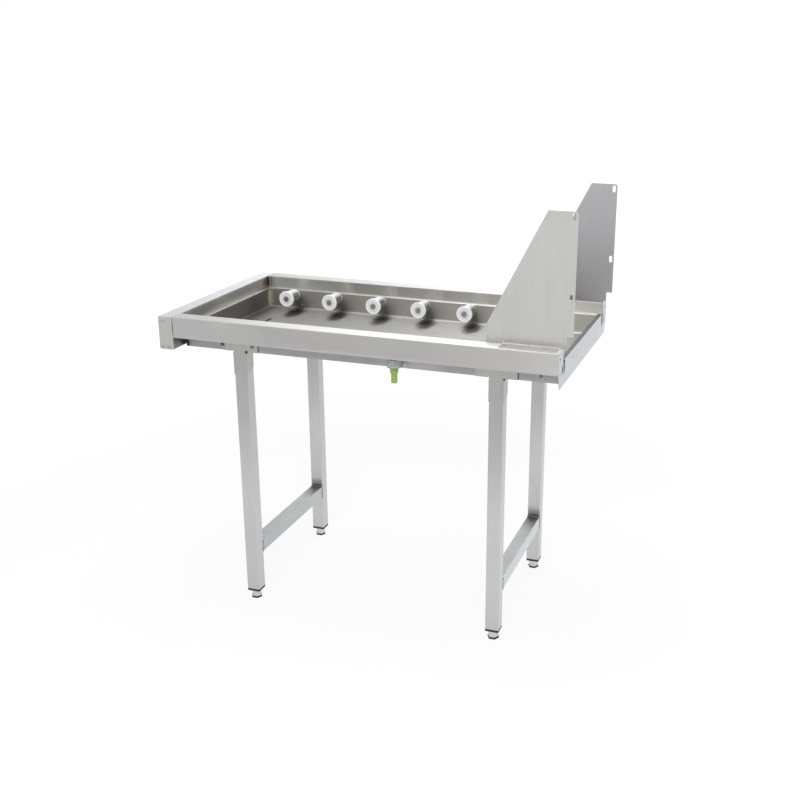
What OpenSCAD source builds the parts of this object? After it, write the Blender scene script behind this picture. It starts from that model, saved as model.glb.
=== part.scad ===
// Dishwasher roller table: a drained tank between folded rims, five stub rollers on each side,
// two upright side guides at the right end, on a frame of square tube with screw feet.
// X runs along the table, its machine end at +X. Y runs from the front to the back. Z is up from the floor.

/* [Table] */
// Length over the rims
table_l = 1160; // [1060:5:1260]
// Width over the rims
table_w = 635; // [600:5:700]
// Height of the rim's top above the floor
rim_h = 890; // [820:5:960]
// Thickness of the rim, apron, angle and bracket sheet
sheet = 1.5; // [1.2:0.1:2]
// Outer radius of a fold in that sheet
fold_r = 2.5; // [2.2:0.1:4]

/* [Rims] */
// Height of a side rim's face
rail_h = 60; // [54:1:64]
// Width of a side rim's top
rail_top_w = 50; // [44:1:54]
// Width of the hem under a side rim's face
rail_hem_w = 12; // [8:1:16]
// Depth of the rims' inner wall, down to the ledge
ledge_drop = 35; // [30:1:38]
// Width of the left end member's top
end_w = 43.5; // [38:0.5:50]
// Height of the left end member
end_h = 95; // [88:1:100]

/* [Tank] */
// Thickness of the tank sheet
tank_sheet = 1.2; // [1:0.1:1.5]
// Depth of the tank below its ledge
tank_depth = 62; // [56:0.5:66]
// Radius of the fold between the tank's floor and its side walls
tank_floor_r = 6; // [4:0.5:8]
// Width of the ledge at the tank's ends
end_ledge_w = 15.5; // [13:0.5:20]
// How far the tank's flange runs under the rims' inner walls
flange_under = 8; // [5:0.5:12]
// Length of the slot in the tank's floor
floor_slot_l = 36; // [28:1:44]
// Width of the slot in the tank's floor
floor_slot_w = 6; // [4:0.5:8]
// Distance of the floor slot from the table's left end
floor_slot_x = 136; // [130:1:170]
// Distance of the floor slot's middle behind the table's centre line
floor_slot_y = 84; // [30:1:90]
// Diameter of the tank's weld studs
stud_d = 6; // [5:1:8]
// Length of a weld stud outside the tank
stud_l = 11; // [10:0.5:14]
// Distance of the left weld studs from the table's left end
stud_left_x = 164; // [160:1:168]
// Distance of the right weld studs from the table's right end
stud_right_x = 61; // [45:1:75]
// Height of the weld studs above the frame angle's underside
stud_z = 16.5; // [14:0.5:18]

/* [Frame] */
// Side of the square leg tube
leg_side = 40; // [36:1:44]
// Wall of the leg tube
leg_wall = 1.5; // [1.2:0.1:2.5]
// Outer corner radius of the leg tube
leg_r = 3; // [2.6:0.2:4]
// Height of the leg tubes' lower end above the floor
leg_bottom = 32; // [30:0.5:36]
// Setback of the legs' outer faces from the rims
leg_inset = 62.5; // [60.5:0.5:66]
// Distance of the left legs from the table's left end
leg_left_x = 199; // [190:1:212]
// Pitch of the left and right legs along the table
leg_pitch = 760; // [720:5:800]
// Height of a crossbar's underside above the floor
crossbar_z = 145; // [120:5:200]
// Height of the frame angles' upright flange
angle_h = 32.5; // [31:0.5:33.5]
// Width of the frame angles' lower flange
angle_w = 40; // [36:1:46]
// Distance of a frame angle from the table's left end
angle_left_x = 48; // [45:1:60]
// Distance of a frame angle from the table's right end
angle_right_x = 15; // [12:1:20]
// Length of a bracket's wing beside its leg
wing_l = 37.5; // [34:0.5:38]
// Length of a left bracket's outer wing
short_wing_l = 26; // [22:0.5:30]
// Height of a bracket's sleeve below the frame angle
sleeve_h = 69.5; // [60:0.5:80]
// Depth of a sleeve's side flap along the leg
flap_d = 38; // [30:1:40]
// Rise of a side flap's lower edge towards its free end
flap_rise = 16; // [8:1:20]
// Diameter of the relief holes where wings and flaps meet
relief_d = 5; // [4:0.5:6]

/* [Rollers] */
// Pitch of the rollers
roller_pitch = 150; // [130:1:155]
// Distance of the first roller from the table's left end
roller_x = 147; // [140:1:155]
// Depth of the rollers' axes below the rim's top
roller_drop = 53; // [51:0.5:54]
// Diameter of a roller's body
roller_d = 40; // [36:0.5:42]
// Diameter of a roller's flange at its free end
roller_flange_d = 50; // [46:0.5:52]
// Thickness of that flange
roller_flange_t = 6; // [4:0.5:8]
// Length of a roller
roller_l = 57.5; // [45:0.5:60]
// Diameter of the axle's shoulder
axle_d = 12; // [10:0.5:14]
// Running clearance between a roller's bore and its axle, on the radius
axle_clear = 0.05; // [0.02:0.01:0.09]
// Width across flats of the axle's head and nut
axle_hex = 13; // [12:0.5:14]
// Height of the axle's head
axle_head_h = 5.5; // [4.5:0.5:6.5]
// Diameter of the axle's thread
axle_thread_d = 8; // [6:0.5:9]
// Diameter of the spacer between a roller and the tank's wall
spacer_d = 38; // [34:0.5:40]
// Thickness of that spacer
spacer_t = 4; // [3:0.5:5]

/* [Side guides] */
// Thickness of a guide plate
guide_t = 2; // [1.5:0.1:2.5]
// Height of a guide above the rim
guide_h = 352; // [300:2:380]
// Width of a guide's lower end
guide_w = 232; // [210:1:250]
// Width of a guide's top
guide_top_w = 76; // [60:1:90]
// Height of the upright part of a guide's left edge
guide_left_h = 47; // [35:1:60]
// How far the guides stand out past the table's right end
guide_over = 24; // [18:1:30]
// Height of the step in a guide's right edge above the rim
guide_step_h = 32; // [26:1:40]
// Depth of that step
guide_step_w = 17; // [14:0.5:22]
// Radius of a guide's upper right corner
guide_r = 8; // [5:0.5:10]
// Width of a guide's foot across the rim
foot_flange_w = 43; // [38:0.5:45]
// Length of the guide's left end that has no foot
foot_free_l = 46; // [36:1:56]
// Width of the slots in a guide
guide_slot_w = 9; // [7:0.5:10]
// Length of the slots in a guide
guide_slot_l = 20; // [16:0.5:24]
// Distance of the slots from a guide's right edge
guide_slot_x = 9.5; // [8.5:0.5:12]
// Distance of the upper slot's middle below a guide's top
guide_slot_top = 14; // [13:0.5:18]
// Pitch of a guide's two slots
guide_slot_pitch = 205; // [180:1:230]

/* [Feet] */
// Thickness of the plugs' square flange
plug_flange_t = 5.5; // [4:0.5:7]
// Length of a plug inside its leg tube
plug_l = 30; // [25:1:40]
// Width across flats of a foot's body
foot_hex = 27; // [24:0.5:29]
// Diameter of a foot's threaded stud
foot_stud_d = 10; // [8:1:12]
// Length of a foot's threaded stud above its body
foot_stud_l = 60; // [50:1:70]
// Height of the plastic base under a foot's body
pad_h = 5; // [4:0.5:7]
// Width across flats of that base
pad_hex = 29.5; // [27:0.5:32]

/* [Drain] */
// Distance of the drain from the table's left end
drain_x = 699; // [680:1:715]
// Diameter of the drain's housing
housing_d = 39.5; // [36:0.5:44]
// Height of the drain's housing
housing_h = 25; // [24:0.5:28]
// Wall of the drain's housing
housing_wall = 2.5; // [2:0.25:3.5]
// Diameter of the drain's threaded neck through the tank's wall
neck_d = 18; // [15:0.5:20]
// Bore of that neck
neck_bore = 13; // [10:0.5:14]
// Diameter of the spigot's collar
collar_d = 22.5; // [21:0.5:26]
// Height of the spigot's collar
collar_h = 11; // [8:0.5:14]
// Diameter of the hose tail
tail_d = 17; // [15:0.5:19]
// Length of the hose tail below its collar
tail_l = 24; // [20:0.5:32]
// Bore of the hose tail
tail_bore = 12; // [9:0.5:13]

/* [Hidden] */
$fn = 64;

// Number of rollers on each side
roller_n = 5;

// Places along the table
x_left = -(table_l + guide_over) / 2;
x_right = x_left + table_l;
x_machine = x_right + guide_over;
leg_xs = [x_left + leg_left_x + leg_side / 2, x_left + leg_left_x + leg_side / 2 + leg_pitch];
roller_xs = [for (i = [0 : roller_n - 1]) x_left + roller_x + i * roller_pitch];
stud_xs = [x_left + stud_left_x, x_right - stud_right_x];
x_rail = x_left + end_w;
x_apron = x_right - sheet;
angle_x0 = x_left + angle_left_x;
angle_x1 = x_right - angle_right_x;
x_drain = x_left + drain_x;
x_guide = x_machine - guide_w;

// Places across the table, for its back half
y_rim = table_w / 2;
y_inner = y_rim - rail_top_w;
y_leg = y_rim - leg_inset;
seat = 0.3;
y_tank_out = y_leg - sheet - seat;
y_tank = y_tank_out - tank_sheet;
leg_y = y_leg - leg_side / 2;

// Levels
z_ledge = rim_h - ledge_drop;
z_floor = z_ledge - tank_depth;
z_angle = z_floor - tank_sheet - sheet;
z_angle_top = z_angle + angle_h;
z_rail = rim_h - rail_h;
z_end = rim_h - end_h;
z_roller = rim_h - roller_drop;
z_stud = z_angle + stud_z;

// Tank
tank_x0 = x_rail + end_ledge_w;
tank_x1 = x_right - end_ledge_w;
thread_clear = 0.3;
foot_flat = 4;
z_wall_mid = z_ledge - tank_depth / 2;
y_flange = y_inner + sheet + flange_under;
slot_seal = 1.5;
slot_seal_t = 0.8;
overlap = 0.5;

// Brackets
relief_out = 1.5;

// Rollers and their axles
roller_gap = 0.5;
roller_face = y_tank - spacer_t - roller_gap - roller_l;
roller_recess = 3;
roller_recess_share = 1.42;
roller_recess_d = axle_hex * roller_recess_share;
roller_rim_w = 3;
roller_dish = 0.8;
roller_edge = 1.2;
roller_neck = 2;
bore_r = axle_d / 2 + axle_clear;
head_gap = 0.3;
washer_t = 1.5;
washer_d = 17;
nut_h = 6.5;
thread_end = 2;
hex_round_share = 0.96;
nut_edge_share = 0.88;

// Side guides
foot_gap = 3;
foot_relief = 5;
foot_right = 17;
guide_corner = 9;
guide_weld_h = 20;
guide_stud_d = 6;
guide_stud_l = 12;
guide_nut_hex = 10;
guide_nut_h = 5;
guide_washer_d = 14;
guide_stud_inset = 40;
foot_x0 = x_guide + foot_free_l;
foot_x1 = x_machine - guide_step_w - foot_right;
guide_stud_xs = [foot_x0 + guide_stud_inset, foot_x1 - guide_stud_inset];
guide_stud_y = y_inner + guide_t + foot_flange_w / 2;

// Tank and bonding fasteners
tank_washer_d = 18;
tank_nut_hex = 10;
tank_nut_h = 5;
bond_beside_leg = 21;
bond_x = leg_xs[0] + leg_side / 2 + bond_beside_leg;
bond_d = 5;
bond_head_d = 9;
bond_head_h = 3;

// Feet
foot_gap_z = 0.3;
plug_clear = 0.2;
plug_core_d = 20;
plug_rib = 2;
insert_hex = 17;
insert_h = 12;
stud_clear = 0.06;
foot_body_h = leg_bottom - plug_flange_t - foot_gap_z - pad_h;
pad_boss_d = 14;
pad_boss_h = 3;
pad_clear = 0.1;

// Drain
ring_d = 26;
ring_t = 5;
gasket_d = 23.4;
gasket_t = 1.5;
drain_gap = 3;
y_drain = y_leg + sheet + drain_gap + housing_d / 2;
z_neck = z_floor + tank_floor_r + ring_d / 2 + seat;
neck_cover = 1.5;
z_housing = z_neck + neck_d / 2 + neck_cover - housing_h;
collar_neck_l = 8;
collar_taper_h = 6;
housing_edge = 4;

// Apron
slit_w = 5;
slit_drop = 28;
apron_corner = 15.5;
apron_lip = 12;
ear_slot_in = 7.5;
ear_slot_y = y_inner + ear_slot_in;
mouth_w = 6;
mouth_h = 3;
ear_low_hole_in = 18.5;
ear_low_hole_drop = 61;
end_hole_y = 148;
end_hole_drop = 54;
ear_slot_w = 5;
ear_slot_l = 20;
ear_hole_in = 17.5;
ear_hole_drop = 19;
ear_hole_d = 4;

// Shapes that repeat

// A rectangle with round corners, centred
module rounded_rect(w, d, r) {
    square([w - 2 * r, d], center = true);
    square([w, d - 2 * r], center = true);
    for (sx = [-1, 1], sy = [-1, 1])
        translate([sx * (w / 2 - r), sy * (d / 2 - r)]) circle(r);
}

// A sheet that follows the points, on the left of its path, with round folds at right angles
module folded(points, t, r) {
    last = len(points) - 1;
    dirs = [for (i = [0 : last - 1]) (points[i + 1] - points[i]) / norm(points[i + 1] - points[i])];
    for (i = [0 : last - 1]) {
        d = dirs[i];
        side = [-d[1], d[0]] * t;
        a = points[i] + d * (i == 0 ? 0 : r);
        b = points[i + 1] - d * (i == last - 1 ? 0 : r);
        polygon([a, b, b + side, a + side]);
    }
    for (i = [1 : last - 1]) {
        d = dirs[i - 1];
        out = [d[1], -d[0]] * r;
        c = points[i] - d * r - out;
        intersection() {
            translate(c) difference() {
                circle(r);
                circle(r - t);
            }
            polygon([c, c + out, c + out + d * r, c + d * r]);
        }
    }
}

// A slot with round ends, along Y
module slot(w, l) {
    reach = (l - w) / 2;
    square([w, 2 * reach], center = true);
    for (s = [-1, 1]) translate([0, s * reach]) circle(d = w);
}

// Carries a profile drawn in Y and Z along X
module along_x(x0, x1) {
    translate([x0, 0, 0]) rotate([90, 0, 90]) linear_extrude(x1 - x0) children();
}

// Carries a profile drawn in X and Z along Y
module along_y(y0, y1) {
    translate([0, y1, 0]) rotate([90, 0, 0]) linear_extrude(y1 - y0) children();
}

// A bar on an axis along Y
module round_y(d, y0, y1) {
    translate([0, y1, 0]) rotate([90, 0, 0]) cylinder(h = y1 - y0, d = d);
}

// A hexagonal bar along Z, with its corners turned round
module hex_bar(flats, h) {
    intersection() {
        cylinder(h = h, d = flats / cos(30), $fn = 6);
        cylinder(h = h, d = flats / cos(30) * hex_round_share);
    }
}

// A hexagonal nut along Z
module nut(flats, h, hole) {
    difference() {
        hex_bar(flats, h);
        translate([0, 0, -overlap]) cylinder(h = h + 2 * overlap, d = hole);
    }
}

// A flat washer along Z
module washer(d, hole, t) {
    difference() {
        cylinder(h = t, d = d);
        translate([0, 0, -overlap]) cylinder(h = t + 2 * overlap, d = hole);
    }
}

// A block's section with its two lower corners round, centred
module round_bottom(w, h, r) {
    translate([-w / 2, r]) square([w, h - r]);
    translate([r - w / 2, 0]) square([w - 2 * r, r]);
    for (s = [-1, 1]) translate([s * (w / 2 - r), r]) circle(r);
}

// Tank

// Half of the tank's section, for its back wall: a flat foot, the round fold, the wall and its flange
module wall_profile() {
    folded([[y_tank - tank_floor_r - foot_flat, z_floor - tank_sheet], [y_tank_out, z_floor - tank_sheet],
            [y_tank_out, z_wall_mid]], tank_sheet, tank_floor_r + tank_sheet);
    folded([[y_flange, z_ledge], [y_tank, z_ledge], [y_tank, z_wall_mid]], tank_sheet, fold_r);
}

module tank_wall(drained) {
    difference() {
        along_x(tank_x0, tank_x1) wall_profile();
        for (x = roller_xs)
            translate([x, 0, z_roller])
                round_y(axle_thread_d + 2 * thread_clear, y_tank - overlap, y_tank_out + overlap);
        if (drained)
            translate([x_drain, 0, z_neck])
                round_y(neck_d + 2 * thread_clear, y_tank - overlap, y_tank_out + overlap);
    }
    for (x = stud_xs)
        translate([x, 0, z_stud]) round_y(stud_d, y_tank_out - tank_sheet / 2, y_tank_out + stud_l);
}

module tank_rear_wall() color([0.62, 0.61, 0.58]) tank_wall(false);

module tank_front_wall() color([0.62, 0.61, 0.58]) mirror([0, 1, 0]) tank_wall(true);

module tank_floor() color([0.66, 0.66, 0.63]) {
    half = y_tank - tank_floor_r - foot_flat;
    difference() {
        translate([tank_x0, -half, z_floor - tank_sheet]) cube([tank_x1 - tank_x0, 2 * half, tank_sheet]);
        translate([x_left + floor_slot_x, floor_slot_y, z_floor - 2 * tank_sheet])
            linear_extrude(3 * tank_sheet) slot(floor_slot_w, floor_slot_l);
    }
}

// An end wall for the right end: its lower part closes the side walls' ends, its top folds out to the flange
module tank_end(x_wall, x_out) {
    z_top = z_ledge - 2 * fold_r;
    low = z_floor - tank_sheet;
    along_x(x_wall, x_wall + tank_sheet)
        translate([0, low]) round_bottom(2 * y_tank_out, z_top - low, tank_floor_r + tank_sheet);
    along_y(-y_tank_out, y_tank_out)
        folded([[x_out, z_ledge], [x_wall, z_ledge], [x_wall, z_top]], tank_sheet, fold_r);
    for (s = [0, 1]) mirror([0, s, 0])
        translate([x_wall, y_tank_out, z_ledge - tank_sheet])
            cube([x_out - x_wall, y_flange - y_tank_out, tank_sheet]);
}

module tank_end_walls() color([0.60, 0.59, 0.56]) {
    tank_end(tank_x1, x_apron);
    mirror([1, 0, 0]) tank_end(-tank_x0, -(x_rail - sheet - flange_under));
}

// A rubber seal that fills the slot in the floor, with a lip on both sides of the sheet
module floor_slot_seal() color([0.13, 0.13, 0.13])
    translate([x_left + floor_slot_x, floor_slot_y, 0]) {
        translate([0, 0, z_floor - tank_sheet]) linear_extrude(tank_sheet) slot(floor_slot_w, floor_slot_l);
        for (z = [z_floor, z_floor - tank_sheet - slot_seal_t])
            translate([0, 0, z]) linear_extrude(slot_seal_t)
                slot(floor_slot_w + 2 * slot_seal, floor_slot_l + 2 * slot_seal);
    }

// Rims

module rail() {
    difference() {
        along_x(x_rail, x_apron)
            folded([[y_inner, z_ledge], [y_inner, rim_h], [y_rim, rim_h], [y_rim, z_rail],
                    [y_rim - rail_hem_w, z_rail]] * [[-1, 0], [0, 1]], sheet, fold_r);
        for (x = guide_stud_xs)
            translate([x, -guide_stud_y, rim_h - 2 * sheet])
                cylinder(h = 3 * sheet, d = guide_stud_d + 2 * thread_clear);
    }
}

module front_rail() color([0.72, 0.72, 0.70]) rail();

module rear_rail() color([0.72, 0.72, 0.70]) mirror([0, 1, 0]) rail();

module left_end_rail() color([0.76, 0.76, 0.75])
    along_y(-(y_rim - sheet), y_rim - sheet)
        folded([[x_rail, z_ledge], [x_rail, rim_h], [x_left, rim_h], [x_left, z_end], [x_rail, z_end],
                [x_rail, z_ledge - tank_sheet]], sheet, fold_r);

module left_end_caps() color([0.74, 0.74, 0.73])
    for (s = [-1, 1])
        translate([0, s * (y_rim - sheet / 2), 0]) along_y(-sheet / 2, sheet / 2)
            translate([x_left + end_w / 2, rim_h - end_h / 2]) rounded_rect(end_w, end_h, fold_r);

// The right end: one plate with ears over the side rims' ends and a lip on the tank's flange
module apron_outline() {
    half = [
        [0, z_angle], [y_rim - apron_corner, z_angle], [y_rim, z_rail], [y_rim, rim_h - fold_r],
        [y_rim - fold_r, rim_h - fold_r], [y_rim - fold_r, rim_h], [y_inner, rim_h],
        [y_inner, z_ledge + sheet], [y_leg, z_ledge + sheet], [y_leg, z_ledge - slit_drop],
        [y_leg - slit_w, z_ledge - slit_drop], [y_leg - slit_w, z_ledge + sheet], [0, z_ledge + sheet]
    ];
    for (s = [0, 1]) mirror([s, 0]) {
        polygon(half);
        translate([y_rim - fold_r, rim_h - fold_r]) intersection() {
            circle(fold_r);
            square(fold_r);
        }
    }
}

module right_apron() color([0.80, 0.82, 0.86]) {
    along_x(x_apron, x_right) difference() {
        apron_outline();
        for (s = [-1, 1]) {
            translate([s * ear_slot_y, z_ledge - slit_drop + ear_slot_l / 2]) slot(ear_slot_w, ear_slot_l);
            translate([s * (y_leg + (mouth_w - overlap) / 2), z_ledge + sheet + (overlap - mouth_h) / 2])
                square([mouth_w + overlap, mouth_h + overlap], center = true);
            translate([s * (y_rim - ear_hole_in), rim_h - ear_hole_drop]) circle(d = ear_hole_d);
            translate([s * (y_rim - ear_low_hole_in), rim_h - ear_low_hole_drop]) circle(d = ear_hole_d);
            translate([s * end_hole_y, rim_h - end_hole_drop]) circle(d = ear_hole_d);
        }
    }
    lip_y = y_leg - slit_w;
    translate([x_apron - apron_lip, -lip_y, z_ledge]) cube([apron_lip + sheet / 2, 2 * lip_y, sheet]);
}

// Frame

module angle_profile() {
    folded([[-y_leg, z_angle_top], [-y_leg, z_angle], [angle_w - y_leg, z_angle]], sheet, fold_r);
}

module frame_angle(notched) {
    difference() {
        along_x(angle_x0, angle_x1) angle_profile();
        for (x = stud_xs)
            translate([x, 0, z_stud]) mirror([0, 1, 0])
                round_y(stud_d + 2 * thread_clear, y_leg - 2 * sheet, y_leg + sheet);
        if (notched) {
            notch = gasket_d + 2 * thread_clear;
            translate([x_drain - notch / 2, -(y_leg + sheet), z_neck - notch / 2])
                cube([notch, 3 * sheet, angle_h]);
        }
    }
}

module front_angle() color([0.66, 0.66, 0.70]) frame_angle(true);

module rear_angle() color([0.66, 0.66, 0.70]) mirror([0, 1, 0]) frame_angle(false);

// A bracket for a front leg: a sleeve round the leg's front, wings over the frame angle
module leg_bracket(left_wing, right_wing) {
    half = leg_side / 2;
    out = half + sheet;
    difference() {
        union() {
            translate([0, 0, z_angle - sleeve_h]) linear_extrude(sleeve_h)
                folded([[-out, flap_d], [-out, -sheet], [out, -sheet], [out, flap_d]], sheet, fold_r);
            translate([-half - left_wing, -sheet, z_angle])
                cube([leg_side + left_wing + right_wing, sheet, angle_h]);
        }
        for (s = [-1, 1])
            translate([s * (half + relief_out), 0, z_angle - sheet]) round_y(relief_d, -2 * sheet, 2 * sheet);
        along_x(-out - sheet, out + sheet)
            polygon([[sheet, z_angle - sleeve_h - sheet], [sheet, z_angle - sleeve_h],
                     [flap_d + sheet, z_angle - sleeve_h + flap_rise],
                     [flap_d + sheet, z_angle - sleeve_h - sheet]]);
    }
}

module placed_bracket(side, back) {
    translate([leg_xs[side], 0, 0]) mirror([0, back, 0]) translate([0, -y_leg, 0])
        difference() {
            leg_bracket(side == 0 ? short_wing_l : wing_l, wing_l);
            if (side == 0 && back == 0)
                translate([bond_x - leg_xs[side], 0, z_stud]) round_y(bond_d, -2 * sheet, sheet);
        }
}

module bracket_front_left() color([0.70, 0.70, 0.69]) placed_bracket(0, 0);

module bracket_front_right() color([0.70, 0.70, 0.69]) placed_bracket(1, 0);

module bracket_rear_left() color([0.70, 0.70, 0.69]) placed_bracket(0, 1);

module bracket_rear_right() color([0.70, 0.70, 0.69]) placed_bracket(1, 1);

module tube_outline() {
    difference() {
        rounded_rect(leg_side, leg_side, leg_r);
        rounded_rect(leg_side - 2 * leg_wall, leg_side - 2 * leg_wall, leg_r - leg_wall);
    }
}

module leg(side, back) {
    translate([leg_xs[side], (back == 0 ? -1 : 1) * leg_y, leg_bottom])
        linear_extrude(z_angle - leg_bottom) tube_outline();
}

module leg_front_left() color([0.73, 0.73, 0.71]) leg(0, 0);

module leg_front_right() color([0.73, 0.73, 0.71]) leg(1, 0);

module leg_rear_left() color([0.73, 0.73, 0.71]) leg(0, 1);

module leg_rear_right() color([0.73, 0.73, 0.71]) leg(1, 1);

module crossbar(side) {
    reach = leg_y - leg_side / 2;
    translate([leg_xs[side], 0, crossbar_z + leg_side / 2]) along_y(-reach, reach) tube_outline();
}

module crossbar_left() color([0.71, 0.71, 0.74]) crossbar(0);

module crossbar_right() color([0.71, 0.71, 0.74]) crossbar(1);

// Feet

module at_feet() {
    for (x = leg_xs, s = [-1, 1]) translate([x, s * leg_y, 0]) children();
}

module leg_plug() {
    inside = leg_side - 2 * leg_wall - 2 * plug_clear;
    difference() {
        union() {
            translate([0, 0, leg_bottom - plug_flange_t]) linear_extrude(plug_flange_t)
                rounded_rect(leg_side, leg_side, leg_r);
            translate([0, 0, leg_bottom]) {
                cylinder(h = plug_l, d = plug_core_d);
                for (a = [0, 90]) rotate([0, 0, a])
                    translate([-inside / 2, -plug_rib / 2, 0]) cube([inside, plug_rib, plug_l]);
                linear_extrude(plug_rib) square([inside - leg_wall, inside - leg_wall], center = true);
            }
        }
        translate([0, 0, leg_bottom - plug_flange_t - overlap])
            cylinder(h = plug_l + plug_flange_t + 2 * overlap, d = foot_stud_d + 4 * stud_clear);
        translate([0, 0, leg_bottom + plug_l - insert_h])
            cylinder(h = insert_h + overlap, d = insert_hex / cos(30), $fn = 6);
    }
}

module leg_plugs() color([0.14, 0.15, 0.15]) at_feet() leg_plug();

module plug_inserts() color([0.70, 0.66, 0.52]) at_feet()
    translate([0, 0, leg_bottom + plug_l - insert_h])
        difference() {
            cylinder(h = insert_h, d = insert_hex / cos(30), $fn = 6);
            translate([0, 0, -overlap])
                cylinder(h = insert_h + 2 * overlap, d = foot_stud_d + 2 * stud_clear);
        }

module screw_foot(side, back) {
    translate([leg_xs[side], (back == 0 ? -1 : 1) * leg_y, pad_h]) difference() {
        union() {
            hex_bar(foot_hex, foot_body_h);
            cylinder(h = foot_body_h + foot_stud_l, d = foot_stud_d);
        }
        translate([0, 0, -overlap]) cylinder(h = pad_boss_h + overlap, d = pad_boss_d + 2 * pad_clear);
    }
}

module foot_base(side, back) {
    translate([leg_xs[side], (back == 0 ? -1 : 1) * leg_y, 0]) {
        cylinder(h = pad_h, d = pad_hex / cos(30), $fn = 6);
        translate([0, 0, pad_h]) cylinder(h = pad_boss_h, d = pad_boss_d);
    }
}

module foot_front_left() color([0.70, 0.70, 0.68]) screw_foot(0, 0);

module foot_front_right() color([0.70, 0.70, 0.68]) screw_foot(1, 0);

module foot_rear_left() color([0.70, 0.70, 0.68]) screw_foot(0, 1);

module foot_rear_right() color([0.70, 0.70, 0.68]) screw_foot(1, 1);

module foot_base_front_left() color([0.12, 0.13, 0.13]) foot_base(0, 0);

module foot_base_front_right() color([0.12, 0.13, 0.13]) foot_base(1, 0);

module foot_base_rear_left() color([0.12, 0.13, 0.13]) foot_base(0, 1);

module foot_base_rear_right() color([0.12, 0.13, 0.13]) foot_base(1, 1);

// Rollers

// Half of a roller's section: radius along X, length from the free end along Y
module roller_section() {
    flange = roller_flange_d / 2;
    body = roller_d / 2;
    hub = roller_recess_d / 2;
    polygon([
        [bore_r, roller_recess], [hub, roller_recess], [hub, roller_dish],
        [flange - roller_rim_w, roller_dish], [flange - roller_rim_w, 0], [flange - roller_edge, 0],
        [flange, roller_edge], [flange, roller_flange_t - roller_edge],
        [flange - roller_edge, roller_flange_t], [body + roller_neck, roller_flange_t],
        [body, roller_flange_t + roller_neck], [body, roller_l - roller_edge],
        [body - roller_edge, roller_l], [bore_r, roller_l]
    ]);
}

// Puts a part that is drawn from the free end, along Z, onto a roller's axis
module at_roller(i, back, place = 0) {
    translate([roller_xs[i], 0, z_roller]) mirror([0, back == 0 ? 1 : 0, 0])
        translate([0, roller_face + place, 0]) rotate([-90, 0, 0]) children();
}

module roller(i, back) color([0.93, 0.94, 0.95]) at_roller(i, back) rotate_extrude() roller_section();

module roller_front_1() roller(0, 0);

module roller_front_2() roller(1, 0);

module roller_front_3() roller(2, 0);

module roller_front_4() roller(3, 0);

module roller_front_5() roller(4, 0);

module roller_rear_1() roller(0, 1);

module roller_rear_2() roller(1, 1);

module roller_rear_3() roller(2, 1);

module roller_rear_4() roller(3, 1);

module roller_rear_5() roller(4, 1);

module roller_axle() {
    head = roller_recess - head_gap - axle_head_h;
    wall = y_tank - roller_face;
    translate([0, 0, head]) hex_bar(axle_hex, axle_head_h);
    cylinder(h = wall, d = axle_d);
    cylinder(h = wall + tank_sheet + washer_t + nut_h + thread_end, d = axle_thread_d);
}

module at_all_rollers(place) {
    for (i = [0 : roller_n - 1], back = [0, 1]) at_roller(i, back, place) children();
}

module roller_axles() color([0.60, 0.62, 0.64]) at_all_rollers(0) roller_axle();

module roller_spacers() color([0.90, 0.90, 0.88])
    at_all_rollers(roller_l + roller_gap) washer(spacer_d, axle_d + 2 * thread_clear, spacer_t);

module roller_washers() color([0.68, 0.68, 0.68])
    at_all_rollers(y_tank_out - roller_face) washer(washer_d, axle_thread_d + 2 * thread_clear, washer_t);

module roller_nuts() color([0.66, 0.66, 0.66])
    at_all_rollers(y_tank_out - roller_face + washer_t) nut(axle_hex, nut_h, axle_thread_d);

// Side guides

module guide_outline() {
    top = rim_h + guide_h;
    difference() {
        polygon([
            [x_guide, rim_h], [x_guide, rim_h + guide_left_h],
            [x_machine - guide_top_w, top], [x_machine, top],
            [x_machine, rim_h + guide_step_h], [x_machine - guide_step_w, rim_h + guide_step_h],
            [x_machine - guide_step_w, rim_h + guide_corner],
            [x_machine - guide_step_w - guide_corner, rim_h]
        ]);
        translate([x_machine - guide_r, top - guide_r]) difference() {
            square(2 * guide_r);
            circle(guide_r);
        }
        for (z = [top - guide_slot_top, top - guide_slot_top - guide_slot_pitch])
            translate([x_machine - guide_slot_x, z]) slot(guide_slot_w, guide_slot_l);
    }
}

// The front guide: an upright plate at the rim's inner edge, with a foot across the rim
module side_guide() {
    difference() {
        along_y(-(y_inner + guide_t), -y_inner) guide_outline();
        translate([foot_x0 - foot_gap, -(y_inner + 2 * guide_t), rim_h - overlap])
            cube([foot_x1 - foot_x0 + foot_gap, 3 * guide_t, foot_relief + overlap]);
    }
    along_x(foot_x0, foot_x1)
        folded([[-(y_inner + guide_t + foot_flange_w), rim_h], [-y_inner, rim_h],
                [-y_inner, rim_h + guide_weld_h]], guide_t, fold_r + guide_t - sheet);
    for (x = guide_stud_xs)
        translate([x, -guide_stud_y, rim_h - guide_stud_l])
            cylinder(h = guide_stud_l + guide_t / 2, d = guide_stud_d);
}

module side_guide_front() color([0.79, 0.79, 0.76]) side_guide();

module side_guide_rear() color([0.64, 0.64, 0.66]) mirror([0, 1, 0]) side_guide();

module at_guide_studs(z) {
    for (x = guide_stud_xs, s = [-1, 1]) translate([x, s * guide_stud_y, z]) children();
}

module guide_washers() color([0.68, 0.68, 0.68])
    at_guide_studs(rim_h - sheet - washer_t)
        washer(guide_washer_d, guide_stud_d + 2 * thread_clear, washer_t);

module guide_nuts() color([0.66, 0.66, 0.66])
    at_guide_studs(rim_h - sheet - washer_t - guide_nut_h) nut(guide_nut_hex, guide_nut_h, guide_stud_d);

// Fasteners between the tank and the frame angles

module at_tank_studs(y) {
    for (x = stud_xs, s = [0, 1])
        translate([x, 0, z_stud]) mirror([0, 1 - s, 0]) translate([0, y, 0]) rotate([-90, 0, 0]) children();
}

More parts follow.
